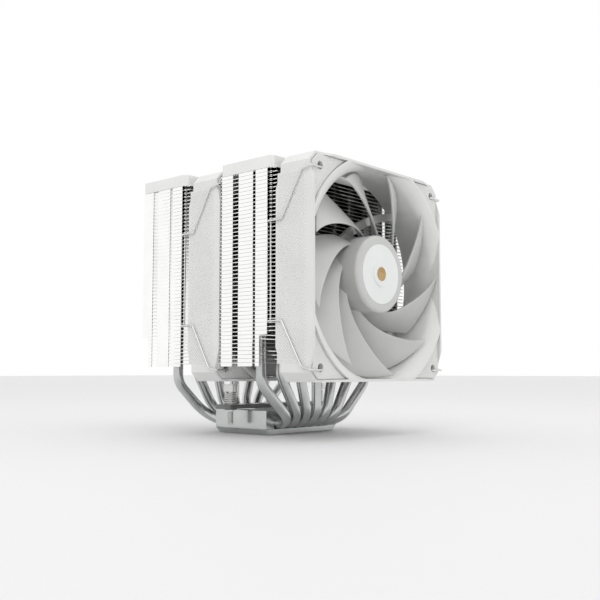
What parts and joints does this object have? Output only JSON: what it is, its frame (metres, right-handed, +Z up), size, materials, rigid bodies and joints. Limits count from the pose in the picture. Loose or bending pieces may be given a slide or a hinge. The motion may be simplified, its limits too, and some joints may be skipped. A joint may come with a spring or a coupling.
{
  "type": "cpu tower cooler",
  "caption": "Twin-tower processor cooler: stacked metal fins on bent heat pipes, a flat cold plate with a sprung crossbar, and axial fans clipped ahead of each tower.",
  "frame": {"origin": "centre of the cold plate's contact face", "axes": "+Z up, away from the processor; +X across the cooler; +Y the way the air flows, so the front fan is at -Y"},
  "size_m": [0.1232, 0.1383, 0.1525],
  "materials": {
    "nickel_plate": "polished nickel plating",
    "fin_nickel": "bright plated sheet",
    "cover_white": "satin",
    "frame_white": "satin, with a fine diamond mesh on the side panels",
    "pad_white": "soft matt, fine diamond mesh",
    "blade_grey": "satin",
    "badge_silver": "satin disc",
    "cap_gold": "polished, dished",
    "motor_steel": "drawn steel",
    "magnet_black": "bonded ferrite",
    "bearing_bronze": "sintered bronze",
    "winding_copper": "enamelled wire",
    "board_green": "solder mask",
    "wire_steel": "bright drawn spring wire",
    "bar_steel": "dark plated steel",
    "screw_steel": "bright zinc plate"
  },
  "bodies": {
    "cooler": {"base_block": "nickel_plate", "cold_plate": "nickel_plate", "crossbar": "bar_steel", "crossbar_screws": "screw_steel", "front_bearing": "bearing_bronze", "front_circuit_board": "board_green", "front_cover": "cover_white", "front_fan_frame": "frame_white", "front_fan_pads": "pad_white", "front_fins": "fin_nickel", "front_lower_fins": "fin_nickel", "front_stator": "motor_steel", "front_windings": "winding_copper", "heat_pipe_1": "nickel_plate", "heat_pipe_2": "nickel_plate", "heat_pipe_3": "nickel_plate", "heat_pipe_4": "nickel_plate", "heat_pipe_5": "nickel_plate", "heat_pipe_6": "nickel_plate", "heat_pipe_7": "nickel_plate", "left_spring": "screw_steel", "mid_bearing": "bearing_bronze", "mid_circuit_board": "board_green", "mid_fan_frame": "frame_white", "mid_fan_pads": "pad_white", "mid_stator": "motor_steel", "mid_windings": "winding_copper", "rear_cover": "cover_white", "rear_fins": "fin_nickel", "rear_lower_fins": "fin_nickel", "right_spring": "screw_steel"},
    "front_rotor": {"front_impeller": "blade_grey", "front_hub_badge": "badge_silver", "front_spindle_cap": "cap_gold", "front_rotor_cup": "motor_steel", "front_magnet": "magnet_black", "front_shaft": "motor_steel", "front_shaft_ring": "motor_steel"},
    "front_left_wire": {"front_left_clip": "wire_steel"},
    "front_right_wire": {"front_right_clip": "wire_steel"},
    "mid_rotor": {"mid_impeller": "blade_grey", "mid_hub_badge": "badge_silver", "mid_spindle_cap": "cap_gold", "mid_rotor_cup": "motor_steel", "mid_magnet": "magnet_black", "mid_shaft": "motor_steel", "mid_shaft_ring": "motor_steel"},
    "mid_left_wire": {"mid_left_clip": "wire_steel"},
    "mid_right_wire": {"mid_right_clip": "wire_steel"},
    "left_ring": {"left_retaining_ring": "bar_steel"},
    "left_screw": {"left_spring_screw": "screw_steel"},
    "right_ring": {"right_retaining_ring": "bar_steel"},
    "right_screw": {"right_spring_screw": "screw_steel"}
  },
  "joints": [
    {"name": "front_fan_spin", "type": "hinge", "parent": "cooler", "child": "front_rotor", "pos_m": [0, -0.0794, 0.0908], "axis": [0, -1, 0], "continuous": true},
    {"name": "front_left_clip_swing", "type": "hinge", "parent": "cooler", "child": "front_left_wire", "pos_m": [-0.05825, -0.04955, 0.0908], "axis": [0, 0, -1], "range_deg": [0, 3], "stiffness_Nm_per_rad": 0.02},
    {"name": "front_right_clip_swing", "type": "hinge", "parent": "cooler", "child": "front_right_wire", "pos_m": [0.05825, -0.04955, 0.0908], "axis": [0, 0, 1], "range_deg": [0, 3], "stiffness_Nm_per_rad": 0.02},
    {"name": "mid_fan_spin", "type": "hinge", "parent": "cooler", "child": "mid_rotor", "pos_m": [0, -0.0099, 0.0908], "axis": [0, -1, 0], "continuous": true},
    {"name": "mid_left_clip_swing", "type": "hinge", "parent": "cooler", "child": "mid_left_wire", "pos_m": [-0.05825, 0.01995, 0.0908], "axis": [0, 0, -1], "range_deg": [0, 3], "stiffness_Nm_per_rad": 0.02},
    {"name": "mid_right_clip_swing", "type": "hinge", "parent": "cooler", "child": "mid_right_wire", "pos_m": [0.05825, 0.01995, 0.0908], "axis": [0, 0, 1], "range_deg": [0, 3], "stiffness_Nm_per_rad": 0.02},
    {"name": "left_screw_travel", "type": "slide", "parent": "cooler", "child": "left_ring", "axis": [0, 0, -1], "range_m": [0, 0.003], "stiffness_N_per_m": 3000, "deforming": ["left_spring"]},
    {"name": "left_screw_turn", "type": "hinge", "parent": "left_ring", "child": "left_screw", "pos_m": [-0.0395, 0, 0.0173], "axis": [0, 0, -1], "continuous": true},
    {"name": "right_screw_travel", "type": "slide", "parent": "cooler", "child": "right_ring", "axis": [0, 0, -1], "range_m": [0, 0.003], "stiffness_N_per_m": 3000, "deforming": ["right_spring"]},
    {"name": "right_screw_turn", "type": "hinge", "parent": "right_ring", "child": "right_screw", "pos_m": [0.0395, 0, 0.0173], "axis": [0, 0, -1], "continuous": true}
  ]
}
